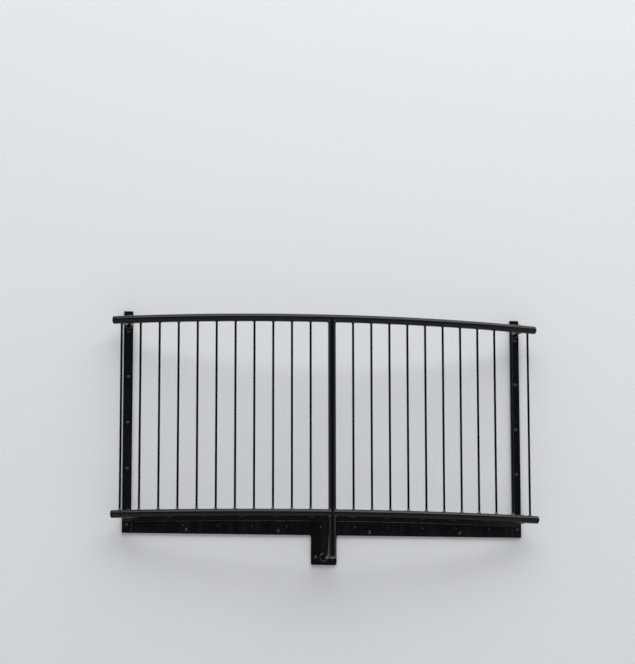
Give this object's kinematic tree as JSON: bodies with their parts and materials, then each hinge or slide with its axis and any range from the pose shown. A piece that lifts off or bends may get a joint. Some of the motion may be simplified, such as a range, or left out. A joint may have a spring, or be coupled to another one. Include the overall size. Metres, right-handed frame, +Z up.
{
  "type": "juliet balcony railing",
  "caption": "Bowed juliet balcony railing: round rails with slim bars between them, a stout centre post whose leg is held off the wall by a level arm, and flat wall posts joined by a bolted wall plate.",
  "frame": {"origin": "middle of the wall plate, on its back face, where the balcony sits against the wall", "axes": "+X along the wall to the right as seen from outside, +Y into the wall, +Z up"},
  "size_m": [2.333, 0.3525, 1.371],
  "materials": {
    "tube_paint": "satin black paint on round tube",
    "cap_paint": "satin black paint on the plugs that close the tubes",
    "flat_paint": "satin black paint on flat bar and plate",
    "bar_paint": "satin black paint on slim round bar"
  },
  "bodies": {
    "root": {"top_rail": "tube_paint", "bottom_rail": "tube_paint", "top_rail_cap_left": "cap_paint", "top_rail_cap_right": "cap_paint", "bottom_rail_cap_left": "cap_paint", "bottom_rail_cap_right": "cap_paint", "centre_post": "tube_paint", "centre_leg": "tube_paint", "centre_leg_cap": "cap_paint", "centre_leg_arm": "tube_paint", "top_rail_arm_left": "tube_paint", "top_rail_arm_right": "tube_paint", "bottom_rail_arm_left": "tube_paint", "bottom_rail_arm_right": "tube_paint", "wall_post_left": "flat_paint", "wall_post_right": "flat_paint", "wall_plate": "flat_paint", "toe_strip_left": "flat_paint", "toe_strip_right": "flat_paint", "baluster_left_01": "bar_paint", "baluster_left_02": "bar_paint", "baluster_left_03": "bar_paint", "baluster_left_04": "bar_paint", "baluster_left_05": "bar_paint", "baluster_left_06": "bar_paint", "baluster_left_07": "bar_paint", "baluster_left_08": "bar_paint", "baluster_left_09": "bar_paint", "baluster_left_10": "bar_paint", "baluster_left_11": "bar_paint", "baluster_right_01": "bar_paint", "baluster_right_02": "bar_paint", "baluster_right_03": "bar_paint", "baluster_right_04": "bar_paint", "baluster_right_05": "bar_paint", "baluster_right_06": "bar_paint", "baluster_right_07": "bar_paint", "baluster_right_08": "bar_paint", "baluster_right_09": "bar_paint", "baluster_right_10": "bar_paint", "baluster_right_11": "bar_paint"}
  },
  "joints": []
}
